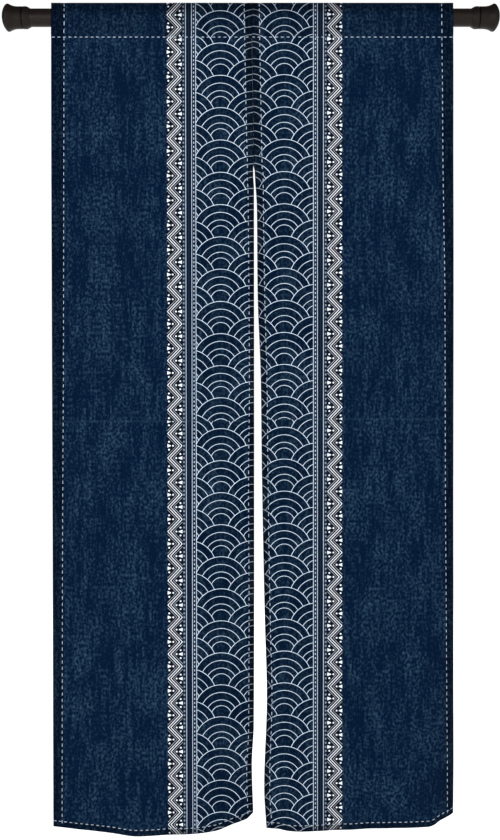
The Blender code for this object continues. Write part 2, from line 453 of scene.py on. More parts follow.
# Studio: the floor, the light from all round, and the lamps.
FLOOR_DROP = 0.06
FLOOR_SIZE = 30.0
FLOOR_ROUGHNESS = 0.9
FLOOR_GLOW = 1.0
BACKGROUND = 1.02
ROUND_LIGHT = 0.13
ROUND_LIGHT_BELOW = 0.85
BELOW_FROM = 0.4
BELOW_FULL = -0.7
SENSOR_WIDTH = 36.0
Lamp = namedtuple("Lamp", "name place size power")
LAMPS = (
    Lamp("key", (-1.1, -2.8, -0.3), (2.0, 2.0), 54.0),
    Lamp("fill", (2.3, -2.6, 0.4), (1.6, 2.2), 32.0),
    Lamp("back", (0.9, 2.8, 0.0), (2.2, 2.2), 26.0),
)


# ---------------------------------------------------------------- curves and surfaces


def smooth(rows, place, name, at):
    """A smooth curve through one column of a table that doesn't overshoot its rows."""
    places = np.array([getattr(row, place) for row in rows])
    values = np.array([getattr(row, name) for row in rows])
    gaps = np.diff(places)
    secants = np.diff(values) / gaps
    before, after = secants[:-1], secants[1:]
    turns = before * after <= 0
    inner = np.where(turns, 0.0, 2 * before * after / np.where(turns, 1.0, before + after))
    slopes = np.concatenate((secants[:1], inner, secants[-1:]))
    at = np.clip(at, places[0], places[-1])
    i = np.clip(np.searchsorted(places, at) - 1, 0, len(gaps) - 1)
    t = (at - places[i]) / gaps[i]
    return (
        values[i] * (1 + 2 * t) * (1 - t) ** 2
        + values[i + 1] * t * t * (3 - 2 * t)
        + gaps[i] * t * (1 - t) * (slopes[i] * (1 - t) - slopes[i + 1] * t)
    )


def pocket_half_width(depth):
    """Half the pocket's width that far below the crease: straight from the crest, round the rod, straight to
    the stitches."""
    stitch = POCKET_DEPTH - CREASE_HEIGHT
    upper = math.asin(POCKET_RADIUS / CREST_HEIGHT)
    lower = math.asin(POCKET_RADIUS / stitch) - math.atan2(POCKET_LAYER, stitch)
    angles = np.linspace(upper, -lower, POCKET_STEPS)
    depths = np.concatenate(([0.0], CREST_HEIGHT - POCKET_RADIUS * np.sin(angles), [POCKET_DEPTH, LENGTH]))
    widths = np.concatenate(([0.0], POCKET_RADIUS * np.cos(angles), [POCKET_LAYER, POCKET_LAYER]))
    return np.interp(depth, depths, widths)


def full_width(panel):
    return panel.folds[-1].inward


def hem_lines(panel, drop):
    """How far in from the outer edge the side hem's and the slit hem's stitches are."""
    side = smooth(panel.hems, "drop", "side", np.abs(drop))
    slit = full_width(panel) - smooth(panel.hems, "drop", "slit", np.abs(drop))
    return side, slit


def middle(panel, place, drop):
    """The middle of the cloth, place metres in from the outer edge and drop metres down from the crease. On
    the back of the pocket, drop is negative."""
    place, drop = np.broadcast_arrays(np.asarray(place, float), np.asarray(drop, float))
    depth = np.abs(drop)
    outer = panel.edge_x - panel.inward * smooth(panel.edges, "drop", "outward", depth)
    seam = SEAM_X - SEAM_LEAN * np.maximum(0.0, 1.0 - depth / SLIT_TOP)
    slit = seam - panel.inward * (SEAM_GAP + smooth(panel.edges, "drop", "slit", depth))
    x = outer + (slit - outer) * place / full_width(panel)
    first = POCKET_DEPTH + ALLOWANCE
    fraction = np.clip((drop - first) / (LENGTH - first), 0.0, 1.0)
    back = smooth(panel.folds, "inward", "back", place)
    growth = smooth(panel.folds, "inward", "growth", place)
    rise = smooth(panel.folds, "inward", "rise", place)
    y = -np.sign(drop) * pocket_half_width(depth) + back * fraction**growth
    loose = fraction * (2 - fraction)
    for ripple in panel.ripples:
        turns = place / ripple.across + drop / ripple.down + ripple.start
        y = y + ripple.height * loose * np.sin(2 * math.pi * turns)
    z = CREST_HEIGHT - depth + rise * fraction
    return np.stack((x, y, z), axis=-1)


def outward(panel, place, drop):
    """Unit normals of the printed face."""
    along = middle(panel, place, drop + NORMAL_STEP) - middle(panel, place, drop - NORMAL_STEP)
    across = middle(panel, place + NORMAL_STEP, drop) - middle(panel, place - NORMAL_STEP, drop)
    normal = np.cross(along, across) * panel.inward
    return normal / np.linalg.norm(normal, axis=-1, keepdims=True)


def hemmed(panel, place, drop):
    """1 where the cloth is turned under as a hem, and 0 elsewhere."""
    side, slit = hem_lines(panel, drop)
    reach = np.maximum(side - place, place - slit)
    reach = np.maximum(reach, drop - (LENGTH - FOOT_HEM))
    return np.clip((reach + HEM_TURN) / HEM_FADE + 0.5, 0.0, 1.0)


def rolled(panel, place, drop):
    """1 at the cut edges, where the hem is folded, going over to 0 a little way in."""
    border = np.minimum(np.minimum(place, full_width(panel) - place), LENGTH - drop)
    return np.clip(1.0 - border / ROLL_WIDTH, 0.0, 1.0)


def stitch_distances(panel, place, drop):
    """(distance from the line, distance along it, run) for each line of stitches."""
    side, slit = hem_lines(panel, drop)
    return (
        (place - side, drop, DOWN_RUN),
        (place - slit, drop, DOWN_RUN),
        (drop - (LENGTH - FOOT_HEM), place, ACROSS_RUN),
        (np.abs(drop) - POCKET_DEPTH, place, ACROSS_RUN),
    )


def faces_of_cloth(panel, place, drop):
    """Points on the printed face and on the reverse."""
    place, drop = np.broadcast_arrays(np.asarray(place, float), np.asarray(drop, float))
    normal = outward(panel, place, drop)
    dip = 0.0
    lift = 0.0
    for distance, along, run in stitch_distances(panel, place, drop):
        dip = dip + PUCKER_DEPTH * np.exp(-((distance / PUCKER_WIDTH) ** 2))
        turns = (along - run.first) / run.pitch
        reach = np.exp(-((distance / QUILTING_REACH) ** 2))
        lift = lift + QUILTING * reach * np.cos(2 * math.pi * turns)
    border = np.minimum(np.minimum(place, full_width(panel) - place), LENGTH - drop)
    border = np.minimum(border, drop + POCKET_DEPTH + ALLOWANCE)
    inside = np.clip(border / EDGE_ROUNDING, 0.0, 1.0)
    rounding = EDGE_THINNEST + (1 - EDGE_THINNEST) * np.sqrt(1 - (1 - inside) ** 2)
    front = lift + (PLY / 2 - dip) * rounding
    behind = lift - (PLY / 2 - dip) * rounding - PLY * hemmed(panel, place, drop) * rounding
    base = middle(panel, place, drop)
    return base + normal * front[..., None], base + normal * behind[..., None]


def stops(start, end, widest):
    """Evenly spaced from start to end, the end left out."""
    count = max(1, math.ceil(abs(end - start) / widest))
    return [start + (end - start) * k / count for k in range(count)]


def column_places(panel, drop):
    """Places across the panel for each drop, set close together at the edges and along the stitches."""
    side, slit = hem_lines(panel, drop)
    full = full_width(panel)
    columns = [np.full_like(drop, stop) for stop in EDGE_STOPS]
    columns += [side * share for share in SIDE_HEM_SHARES]
    columns += [side + offset for offset in STITCH_STOPS]
    body = math.ceil((full - BOTH_HEMS) / WIDEST_COLUMN)
    columns += [side + (slit - side) * k / body for k in range(1, body)]
    columns += [slit + offset for offset in STITCH_STOPS]
    columns += [slit + (full - slit) * share for share in SLIT_HEM_SHARES]
    columns += [np.full_like(drop, full - stop) for stop in reversed(EDGE_STOPS)]
    return np.stack(columns, axis=-1)


def row_drops():
    top = -(POCKET_DEPTH + ALLOWANCE)
    foot = LENGTH - FOOT_HEM
    drops = [top + stop for stop in EDGE_STOPS]
    drops += stops(top + WIDE_ROOM, -POCKET_DEPTH - TIGHT_ROOM, POCKET_ROW)
    drops += [-POCKET_DEPTH + offset for offset in STITCH_STOPS]
    drops += stops(-POCKET_DEPTH + WIDE_ROOM, -TIGHT_ROOM, POCKET_ROW)
    drops += CREASE_STOPS
    drops += stops(TIGHT_ROOM, POCKET_DEPTH - WIDE_ROOM, POCKET_ROW)
    drops += [POCKET_DEPTH + offset for offset in STITCH_STOPS]
    drops += stops(POCKET_DEPTH + WIDE_ROOM, foot - WIDE_ROOM, WIDEST_ROW)
    drops += [foot + offset for offset in STITCH_STOPS]
    drops += stops(foot + WIDE_ROOM, LENGTH - TIGHT_ROOM, POCKET_ROW)
    drops += [LENGTH - stop for stop in reversed(EDGE_STOPS)]
    return np.array(drops)


def print_coordinates(panel, points, drop):
    """Where each point's print comes from: across and down, in metres, as they stand in the eye's view of the
    plane of the rod, moved by the print's creep. The back of the pocket carries on upwards."""
    scale = EYE_DISTANCE / (EYE_DISTANCE + points[..., 1])
    x = EYE_X + (points[..., 0] - EYE_X) * scale
    z = EYE_HEIGHT + (points[..., 2] - EYE_HEIGHT) * scale
    down = np.where(drop > 0, CREASE_HEIGHT - z, drop)
    across = np.where(drop > 0, x, points[..., 0]) - panel.shear * np.abs(drop) / LENGTH
    down = down + smooth(panel.creeps, "drop", "by", drop)
    return np.stack((across, down), axis=-1)


def panel_mesh(panel, printed, reverse):
    drops = row_drops()
    places = column_places(panel, drops)
    down = np.broadcast_to(drops[:, None], places.shape)
    front, behind = faces_of_cloth(panel, places, down)
    rows, columns = places.shape
    count = rows * columns
    vertices = np.concatenate((front.reshape(-1, 3), behind.reshape(-1, 3)))
    index = np.arange(count).reshape(rows, columns)
    corners = (index[:-1, :-1], index[1:, :-1], index[1:, 1:], index[:-1, 1:])
    quads = np.stack(corners, axis=-1).reshape(-1, 4)
    ring = np.concatenate((index[:-1, 0], index[-1, :-1], index[:0:-1, -1], index[0, :0:-1]))
    after = np.roll(ring, -1)
    rim = np.stack((ring, ring + count, after + count, after), axis=-1)
    faces = np.concatenate((quads, quads[:, ::-1] + count, rim))
    if panel.inward < 0:
        faces = faces[:, ::-1]
    made = mesh_object("cloth_" + panel.name, vertices, faces)
    made.data.materials.append(printed)
    made.data.materials.append(reverse)
    slots = np.zeros(len(faces), int)
    slots[len(quads) : 2 * len(quads)] = 1
    made.data.polygons.foreach_set("material_index", slots)

    design = print_coordinates(panel, front, down).reshape(-1, 2)
    plies = hemmed(panel, places, down) + rolled(panel, places, down)
    pocket = np.clip((POCKET_DEPTH - np.abs(down)) / POCKET_FADE + 0.5, 0.0, 1.0)
    make = np.stack((plies, pocket), axis=-1).reshape(-1, 2)
    baked_front, baked_behind = bake_layout(places, drops, full_width(panel))
    on_sheet = faces.ravel() % count
    set_map(made, "cloth", design[on_sheet])
    set_map(made, "make", make[on_sheet])
    cut = np.repeat(quads_below_cut(index, drops), 4)
    if panel.inward < 0:
        cut = cut.reshape(-1, 4)[:, ::-1].ravel()
    layout = baked_behind.reshape(-1, 2)[on_sheet]
    sheet = len(quads) * 4
    upper, lower = (part.reshape(-1, 2)[on_sheet[:sheet]] for part in baked_front)
    layout[:sheet] = np.where(cut[:, None], lower, upper)
    set_map(made, "OFBake", layout)
    return made


def quads_below_cut(index, drops):
    """True for each of the front's quads that belongs to the lower strip of the layout."""
    rows = np.broadcast_to(drops[:-1, None] >= BAKE_CUT - HAIR, index[:-1, :-1].shape)
    return rows.ravel()


def bake_layout(places, drops, full):
    """The printed face in two strips side by side and the reverse in a third, smaller one."""
    top = drops[0]
    cut = drops[np.searchsorted(drops, BAKE_CUT - HAIR)]
    down = np.broadcast_to(drops[:, None], places.shape)
    second = BAKE_MARGIN * 2 + full * BAKE_FRONT
    third = second + BAKE_MARGIN + full * BAKE_FRONT
    upper = strip(BAKE_MARGIN, places * BAKE_FRONT, (down - top) * BAKE_FRONT)
    lower = strip(second, places * BAKE_FRONT, (down - cut) * BAKE_FRONT)
    behind = strip(third, places * BAKE_BEHIND * BAKE_BEHIND_SQUEEZE, (down - top) * BAKE_BEHIND)
    return (upper, lower), behind


def strip(start, across, down):
    """One strip of the layout, down from its top margin."""
    return np.stack((start + across, 1 - BAKE_MARGIN - down), axis=-1)


def set_map(made, name, values):
    layer = made.data.uv_layers.new(name=name)
    layer.uv.foreach_set("vector", np.ascontiguousarray(values, np.float32).ravel())


def mesh_object(name, vertices, faces):
    data = bpy.data.meshes.new(name)
    data.from_pydata(vertices.tolist(), [], faces.tolist())
    data.update()
    data.shade_smooth()
    made = bpy.data.objects.new(name, data)
    bpy.context.scene.collection.objects.link(made)
    return made


# ---------------------------------------------------------------- stitches


def run_ends(run, length):
    """Start and end of each stitch along a line of that length."""
    middles = np.arange(run.first, length, run.pitch)
    starts = np.maximum(middles - run.length / 2, RUN_MARGIN)
    ends = np.minimum(middles + run.length / 2, length - RUN_MARGIN)
    long_enough = ends - starts > run.length * SHORTEST_STITCH
    return starts[long_enough], ends[long_enough]


def stitch_paths(panel, shift):
    """For each line: (place, drop) along every stitch, THREAD_STEPS points each, the run moved on by that
    share of a pitch, and whether it is the pocket's line."""
    share = np.linspace(0.0, 1.0, THREAD_STEPS)
    down_run = DOWN_RUN._replace(first=DOWN_RUN.first + shift * DOWN_RUN.pitch)
    across_run = ACROSS_RUN._replace(first=ACROSS_RUN.first + shift * ACROSS_RUN.pitch)
    paths = []
    starts, ends = run_ends(down_run, LENGTH)
    drops = starts[:, None] + (ends - starts)[:, None] * share
    for line in hem_lines(panel, drops):
        paths.append((np.stack((line, drops), axis=-1), False))
    starts, ends = run_ends(across_run, full_width(panel))
    places = starts[:, None] + (ends - starts)[:, None] * share
    for drop in (POCKET_DEPTH, LENGTH - FOOT_HEM):
        paths.append((np.stack((places, np.full_like(places, drop)), axis=-1), drop == POCKET_DEPTH))
    return paths


def threads(points, normals):
    """Vertices, faces and map of flattened threads that dive into the cloth at both ends."""
    share = np.linspace(-1.0, 1.0, THREAD_STEPS)
    girth = np.sqrt(np.clip(1 - share**4, THREAD_TIP, 1.0))
    height = THREAD_HEIGHT * (THREAD_LIFT - THREAD_DIVE * share**6)
    along = np.gradient(points, axis=1)
    along /= np.linalg.norm(along, axis=-1, keepdims=True)
    aside = np.cross(along, normals)
    angles = np.arange(THREAD_SIDES) * 2 * math.pi / THREAD_SIDES
    wide = THREAD_WIDTH / 2 * girth[None, :, None, None] * np.cos(angles)[None, None, :, None]
    high = THREAD_HEIGHT / 2 * girth[None, :, None, None] * np.sin(angles)[None, None, :, None]
    core = points + normals * height[None, :, None]
    rings = core[:, :, None] + aside[:, :, None] * wide + normals[:, :, None] * high
    count = len(points)
    index = np.arange(count * THREAD_STEPS * THREAD_SIDES).reshape(count, THREAD_STEPS, THREAD_SIDES)
    turned = np.roll(index, -1, axis=2)
    walls = np.stack((index[:, :-1], turned[:, :-1], turned[:, 1:], index[:, 1:]), axis=-1).reshape(-1, 4)
    caps = [index[:, end][:, order] for end, order in THREAD_CAPS]
    length = np.cumsum(np.linalg.norm(np.diff(points, axis=1, prepend=points[:, :1]), axis=-1), axis=1)
    run = length[:, :, None] + THREADS_APART * np.arange(count)[:, None, None]
    around = np.broadcast_to(angles / (2 * math.pi), index.shape)
    lay = np.stack((np.broadcast_to(run, index.shape), around), axis=-1).reshape(-1, 2)
    return rings.reshape(-1, 3), np.concatenate([walls] + caps), lay


def stitches(panel, finish):
    vertices, faces, lays = [], [], []
    for side in (0, 1):
        for path, on_pocket in stitch_paths(panel, 0.5 * side):
            place, drop = path[..., 0], path[..., 1]
            if side == 1 and on_pocket:
                drop = -drop
            skins = faces_of_cloth(panel, place, drop)
            facing = outward(panel, place, drop)
            flipped = side == 1 and not on_pocket
            points = skins[1] if flipped else skins[0]
            found = threads(points, -facing if flipped else facing)
            faces.append(found[1] + sum(len(v) for v in vertices))
            vertices.append(found[0])
            lays.append(found[2])
    faces = np.concatenate(faces)
    made = mesh_object("stitches_" + panel.name, np.concatenate(vertices), faces)
    made.data.materials.append(finish)
    set_map(made, "thread", np.concatenate(lays)[faces.ravel()])
    return made


# ---------------------------------------------------------------- turned parts


def turned(name, profile, finish):
    """A closed outline of (distance along X, radius) turned about the X axis."""
    mesh = bmesh.new()
    points = [mesh.verts.new((along, 0.0, radius)) for along, radius in profile]
    lines = [mesh.edges.new(ends) for ends in zip(points, points[1:] + points[:1])]
    bmesh.ops.spin(
        mesh,
        geom=points + lines,
        cent=(0.0, 0.0, 0.0),
        axis=(1.0, 0.0, 0.0),
        angle=2 * math.pi,
        steps=ROUND_SEGMENTS,
        use_merge=True,
    )
    bmesh.ops.remove_doubles(mesh, verts=mesh.verts[:], dist=WELD_DISTANCE)
    bmesh.ops.recalc_face_normals(mesh, faces=mesh.faces[:])
    data = bpy.data.meshes.new(name)
    mesh.to_mesh(data)
    mesh.free()
    data.shade_smooth()
    data.set_sharp_from_angle(angle=SHARP_ANGLE)
    data.materials.append(finish)
    made = bpy.data.objects.new(name, data)
    bpy.context.scene.collection.objects.link(made)
    corners = np.zeros(len(data.loops), int)
    data.loops.foreach_get("vertex_index", corners)
    places = np.array([vertex.co for vertex in data.vertices])
    around = np.arctan2(places[:, 1], places[:, 2]) * ROD_RADIUS
    set_map(made, "turned", np.stack((places[:, 0], around), axis=-1)[corners])
    return made


def arc(start, radius, end, steps):
    """Points on the arc of that radius from start to end, both left out, bulging to the left of the way for a
    positive radius and to the right for a negative one."""
    (x0, r0), (x1, r1) = start, end
    half = math.hypot(x1 - x0, r1 - r0) / 2
    heading = math.atan2(r1 - r0, x1 - x0)
    turn = math.asin(half / radius)
    height = half / math.tan(turn)
    cx = (x0 + x1) / 2 + height * math.sin(heading)
    cr = (r0 + r1) / 2 - height * math.cos(heading)
    first = math.atan2(r0 - cr, x0 - cx)
    angles = [first - 2 * turn * k / steps for k in range(1, steps)]
    return [(cx + abs(radius) * math.cos(a), cr + abs(radius) * math.sin(a)) for a in angles]


def foot_profile():
    socket = ROD_RADIUS + FIT_GAP
    pad = (0.0, PAD_RADIUS)
    brow = (BROW_SETBACK, BROW_RADIUS)
    rim = (RIM_SETBACK, RIM_RADIUS)
    neck = (NECK_END, BODY_RADIUS)
    shoulder = (FOOT_LENGTH - END_ROUNDING, BODY_RADIUS)
    mouth = (FOOT_LENGTH, BODY_RADIUS - END_ROUNDING)
    return (
        [(0.0, 0.0), pad]
        + arc(pad, DOME_RADIUS, brow, DOME_STEPS)
        + [brow]
        + arc(brow, RIM_ROUNDING, rim, RIM_STEPS)
        + [rim]
        + arc(rim, -NECK_RADIUS, neck, NECK_STEPS)
        + [neck, shoulder]
        + arc(shoulder, END_ARC_RADIUS, mouth, END_STEPS)
        + [mouth, (FOOT_LENGTH, socket), (SOCKET_FLOOR, socket), (SOCKET_FLOOR, 0.0)]
    )


def collar_profile():
    bore = ROD_RADIUS + FIT_GAP
    start = FOOT_LENGTH + FIT_GAP
    face = (start, COLLAR_RADIUS - END_ROUNDING)
    shoulder = (start + END_ROUNDING, COLLAR_RADIUS)
    bevel = (COLLAR_BEVEL_START, COLLAR_RADIUS)
    lip = (COLLAR_END, bore + COLLAR_LIP)
    rounding = arc(face, END_ARC_RADIUS, shoulder, END_STEPS)
    return [(start, bore), face] + rounding + [shoulder, bevel, lip, (COLLAR_END, bore)]


def mirrored(profile):
    return [(SPAN - along, radius) for along, radius in profile]


# ---------------------------------------------------------------- materials


class Field:
    """A number that varies over a surface. Arithmetic on it adds Math nodes to its material."""

    def __init__(self, tree, output):
        self.tree = tree
        self.output = output

    def math(self, operation, *others):
        node = self.tree.nodes.new("ShaderNodeMath")
        node.operation = operation
        for socket, value in zip(node.inputs, (self, *others)):
            feed(self.tree, socket, value)
        return Field(self.tree, node.outputs[0])

    def __add__(self, other):
        return self.math("ADD", other)

    def __sub__(self, other):
        return self.math("SUBTRACT", other)

    def __mul__(self, other):
        return self.math("MULTIPLY", other)

    def __truediv__(self, other):
        return self.math("DIVIDE", other)

    def away(self, other):
        """How far this is from other."""
        return (self - other).math("ABSOLUTE")

    def over(self, other):
        """1 where this is more than other, and 0 elsewhere."""
        return self.math("GREATER_THAN", other)

    def most(self, other):
        return self.math("MAXIMUM", other)

    def opposite(self):
        return (self * -1.0) + 1.0

    def wrapped(self, period):
        """This, less the nearest whole number of periods."""
        return self.math("WRAP", period / 2, -period / 2)

    def within(self, half, soft=PRINT_SOFTNESS):
        """1 where this distance is under half, fading to 0 across soft on each side."""
        return ramp(self, half + soft, half - soft)


def feed(tree, socket, value):
    if isinstance(value, Field):
        tree.links.new(value.output, socket)
    else:
        socket.default_value = value


def ramp(value, zero_at, one_at):
    """0 up to zero_at and 1 from one_at, smooth in between."""
    node = value.tree.nodes.new("ShaderNodeMapRange")
    node.interpolation_type = "SMOOTHSTEP"
    feed(value.tree, node.inputs["Value"], value)
    rising = zero_at < one_at
    node.inputs["From Min"].default_value = min(zero_at, one_at)
    node.inputs["From Max"].default_value = max(zero_at, one_at)
    node.inputs["To Min"].default_value = 0.0 if rising else 1.0
    node.inputs["To Max"].default_value = 1.0 if rising else 0.0
    return Field(value.tree, node.outputs["Result"])


def chosen(test, yes, no):
    """yes where test is 1 and no where it is 0."""
    return no + (yes - no) * test


def blended(tree, share, first, second):
    """The colour first, going over to second as share goes from 0 to 1."""
    node = tree.nodes.new("ShaderNodeMix")
    node.data_type = "RGBA"
    node.clamp_factor = False
    feed(tree, node.inputs[0], share)
    for socket, colour in ((node.inputs[6], first), (node.inputs[7], second)):
        feed(tree, socket, colour if isinstance(colour, Field) else (*colour, 1.0))
    return Field(tree, node.outputs[2])


def dimmed(tree, colour, factor):
    """The colour times a number that varies."""
    node = tree.nodes.new("ShaderNodeVectorMath")
    node.operation = "SCALE"
    feed(tree, node.inputs[0], colour)
    feed(tree, node.inputs["Scale"], factor)
    return Field(tree, node.outputs[0])


def mapped(tree, name):
    """The two coordinates of a UV map."""
    source = tree.nodes.new("ShaderNodeUVMap")
    source.uv_map = name
    parts = tree.nodes.new("ShaderNodeSeparateXYZ")
    tree.links.new(source.outputs[0], parts.inputs[0])
    return Field(tree, parts.outputs[0]), Field(tree, parts.outputs[1])


def noise(across, down, grain, seed=0.0):
    """Noise from 0 to 1, as a row of the table of grains says."""
    tree = across.tree
    joined = tree.nodes.new("ShaderNodeCombineXYZ")
    feed(tree, joined.inputs[0], across / grain.width)
    feed(tree, joined.inputs[1], down / grain.height)
    joined.inputs[2].default_value = grain.seed + seed
    node = tree.nodes.new("ShaderNodeTexNoise")
    node.inputs["Scale"].default_value = 1.0
    node.inputs["Detail"].default_value = grain.detail
    node.inputs["Roughness"].default_value = grain.roughness
    tree.links.new(joined.outputs[0], node.inputs["Vector"])
    return Field(tree, node.outputs[0])


def new_material(name):
    made = bpy.data.materials.new(name)
    made.use_nodes = True
    tree = made.node_tree
    return made, tree, tree.nodes["Principled BSDF"]


def surfaced(tree, shader, colour, roughness, specular):
    feed(tree, shader.inputs["Base Color"], colour)
    feed(tree, shader.inputs["Roughness"], roughness)
    shader.inputs["Specular IOR Level"].default_value = specular


def bumped(tree, shader, height, distance):
    node = tree.nodes.new("ShaderNodeBump")
    node.inputs["Distance"].default_value = distance
    feed(tree, node.inputs["Height"], height)
    tree.links.new(node.outputs[0], shader.inputs["Normal"])


def wave_drop(down, past, beyond, loss):
    """Where in the unbroken repeat the print is, with what is lost at the mid-height fold added back."""
    return down + past * loss + beyond * (DENSER - 1.0)


def wave_scales(across, down):
    """Overlapping scales of arcs, each covered by the ones below it: how bright the line is, or 0."""
    offset = across - WAVE_X
    columns = []
    for shift, first in ((0.0, WAVE_FIRST), (WAVE_COLUMN, WAVE_FIRST - WAVE_PERIOD / 2)):
        dx = (offset - shift).wrapped(2 * WAVE_COLUMN)
        room = (dx * dx * -1.0 + OUTER_RADIUS**2).most(0.0)
        below = down - first - OUTER_RADIUS + room.math("SQRT")
        number = (below / WAVE_PERIOD).math("FLOOR")
        top = number * WAVE_PERIOD + first
        top = top - dx.math("ABSOLUTE").over(OUTER_RADIUS) * OUT_OF_THE_WAY
        columns.append((dx, top))
    (first_dx, first_top), (second_dx, second_top) = columns
    nearer = first_top.over(second_top)
    dx = chosen(nearer, first_dx, second_dx)
    dy = down - first_top.most(second_top)
    square = dx * dx
    height = dy - OUTER_RADIUS
    rim = (square + height * height).math("SQRT") * -1.0 + OUTER_RADIUS
    line = (rim - WAVE_LINE / 2).math("ABSOLUTE").within(WAVE_LINE / 2)
    for one in INNER_ARCS:
        height = dy - (one.top + one.radius)
        reach = (square + height * height).math("SQRT").away(one.radius)
        line = line.most(reach.within(WAVE_LINE / 2) * one.light)
    return line


def zigzag_border(out, down):
    """The white zigzag with its motifs, out metres from the middle line."""
    phase = (down - ZIGZAG_PEAK).wrapped(ZIGZAG_PERIOD).math("ABSOLUTE")
    swing = phase * (-2 * ZIGZAG_DEPTH / ZIGZAG_PERIOD) + (ZIGZAG_INNERMOST + ZIGZAG_DEPTH)
    light = None
    for line in ZIGZAG_LINES:
        mask = out.away(swing + line.at * ZIGZAG_SPACING).within(line.width / 2) * line.light
        light = mask if light is None else light.most(mask)
    bays = ((INNER_BAY, phase), (OUTER_BAY, phase.away(ZIGZAG_PERIOD / 2)))
    for bay, aside in bays:
        for at, level in ((bay.dot, 0.0), (bay.pair, PAIR_OFFSET)):
            dx = out - at
            dy = aside - level
            light = light.most((dx * dx + dy * dy).math("SQRT").within(DOT_RADIUS))
        run = (out - bay.wedge_tip) / (bay.wedge_foot - bay.wedge_tip)
        half = run * (WEDGE_FOOT - WEDGE_TIP) + WEDGE_TIP
        light = light.most(ramp(half - aside, -WEDGE_SOFTNESS, WEDGE_SOFTNESS) * run.over(0.0))
    inner, outer = ZIGZAG_BAND
    before, after = ZIGZAG_FADE
    return light * ramp(out, inner - before, inner + after) * ramp(out, outer + after, outer - before)


def banded(out, band):
    """1 between a band's two distances, fading to 0 inside it."""
    inner, outer = band
    return ramp(out, inner, inner + BAND_FADE) * ramp(out, outer, outer - BAND_FADE)


def printed_design(across, down):
    """The print's parts, each from 0 to 1, and the distance from the mid-height fold."""
    side = across - BORDER_X
    out = side.math("ABSOLUTE")
    fold = down - side * FOLD_SLOPE - FOLD_DROP
    past = fold.over(0.0)
    beyond = fold.most(0.0)
    waved = wave_drop(down, past, beyond, FOLD_LOSS)
    field = ramp(out, PIN_LINES[0].at + FIELD_SOFTNESS, PIN_LINES[0].at - FIELD_SOFTNESS)
    pale = wave_scales(across, waved) * field
    for line in PIN_LINES:
        pale = pale.most(out.away(line.at).within(line.width / 2) * line.light)
    pale = pale.most(out.away(FAINT_LINE.at).within(FAINT_LINE.width / 2, FAINT_SOFTNESS) * FAINT_LINE.light)
    regular = wave_drop(down, past, beyond, ZIGZAG_FOLD_LOSS)
    regular = regular + down * side.over(0.0) * RIGHT_ZIGZAG_CREEP
    dot_phase = (regular - ZIGZAG_PEAK).wrapped(DOT_PITCH).math("ABSOLUTE")
    for dots in DOT_COLUMNS:
        mask = out.away(dots.at).within(dots.width / 2) * dot_phase.within(dots.height / 2) * dots.light
        pale = pale.most(mask)
    white = zigzag_border(out, regular)
    inner, outer = BORDER
    border = ramp(out, inner, inner + BAND_FADE) * ramp(out, outer, outer - BORDER_FADE)
    return Design(
        pale,
        white,
        navy=banded(out, DARK_BAND),
        black=banded(out, ZIGZAG_BAND),
        waves=field.most(border),
        fold=fold.math("ABSOLUTE"),
    )


def weave(across, down):
    """(height, share of the upright thread on top) of a plain weave."""
    upright = (across * (math.pi / THREAD_PITCH)).math("SINE")
    level = (down * (math.pi / THREAD_PITCH)).math("SINE")
    on_top = ramp(upright * level, -CROSSING, CROSSING)
    height = chosen(on_top, upright.math("ABSOLUTE"), level.math("ABSOLUTE"))
    return height, on_top


def slubs(across, down, on_top, seed):
    """Uneven thickness along whichever thread is on top."""
    return chosen(on_top, noise(across, down, UPRIGHT_SLUB, seed), noise(across, down, LEVEL_SLUB, seed))


def printed_cloth(panel):
    made, tree, shader = new_material("printed_cloth_" + panel.name)
    across, down = mapped(tree, "cloth")
    plies, pocket = mapped(tree, "make")
    design = printed_design(across, down)
    height, on_top = weave(across, down)
    patch = noise(across, down, PATCH, panel.seed)
    brushed = noise(across, down, BRUSHED, panel.seed)
    streak = noise(across, down, STREAK, panel.seed)
    fleck = noise(across, down, FLECK, panel.seed) - 0.5
    slub = slubs(across, down, on_top, panel.seed) - 0.5
    dry = patch * PATCH_SHARE + brushed * BRUSHED_SHARE + streak * STREAK_SHARE
    dry = ramp(dry, WET_BELOW, DRY_ABOVE)
    grain = fleck * (dry * DRY_FLECKS + WET_FLECKS) + slub * SLUB_LIGHT
    light = (dry - 0.5) * DRY_LIGHT + grain + grain.most(0.0) * BRIGHT_FLECKS
    light = light + (streak - 0.5) * STREAK_LIGHT + MEAN_LIGHT
    light = light.most(0.0).math("MINIMUM", MOST_LIGHT)
    ground = blended(tree, light, NAVY, TEAL)
    waves = blended(tree, light, WAVE_NAVY, WAVE_TEAL)
    ground = blended(tree, design.waves, ground, waves)
    ground = blended(tree, design.navy, ground, DEEP_NAVY)
    ground = blended(tree, design.black, ground, NEAR_BLACK)
    worn = fleck * WORN_BY_FLECK + slub * WORN_BY_SLUB + WORN_MEAN
    colour = blended(tree, (design.pale * worn).math("MINIMUM", 1.0), ground, PALE_PRINT)
    colour = blended(tree, (design.white * worn).math("MINIMUM", 1.0), colour, WHITE_PRINT)
    colour = blended(tree, design.fold.within(FOLD_HALF, FOLD_SOFTNESS) * FOLD_LIGHT, colour, FOLD_TINT)
    hem = plies.math("MINIMUM", 1.0)
    roll = (plies - 1.0).most(0.0)
    shade = (hem * -HEM_SHADE + 1.0) * (roll * -ROLL_SHADE + 1.0) * (pocket * -POCKET_SHADE + 1.0)
    surfaced(tree, shader, dimmed(tree, colour, shade), CLOTH_ROUGHNESS, CLOTH_SPECULAR)
    ridge = design.fold.within(RIDGE_HALF, RIDGE_SOFTNESS)
    bumped(tree, shader, height * WEAVE_RELIEF + slub * SLUB_RELIEF + ridge * RIDGE_RELIEF, CLOTH_BUMP)
    return made


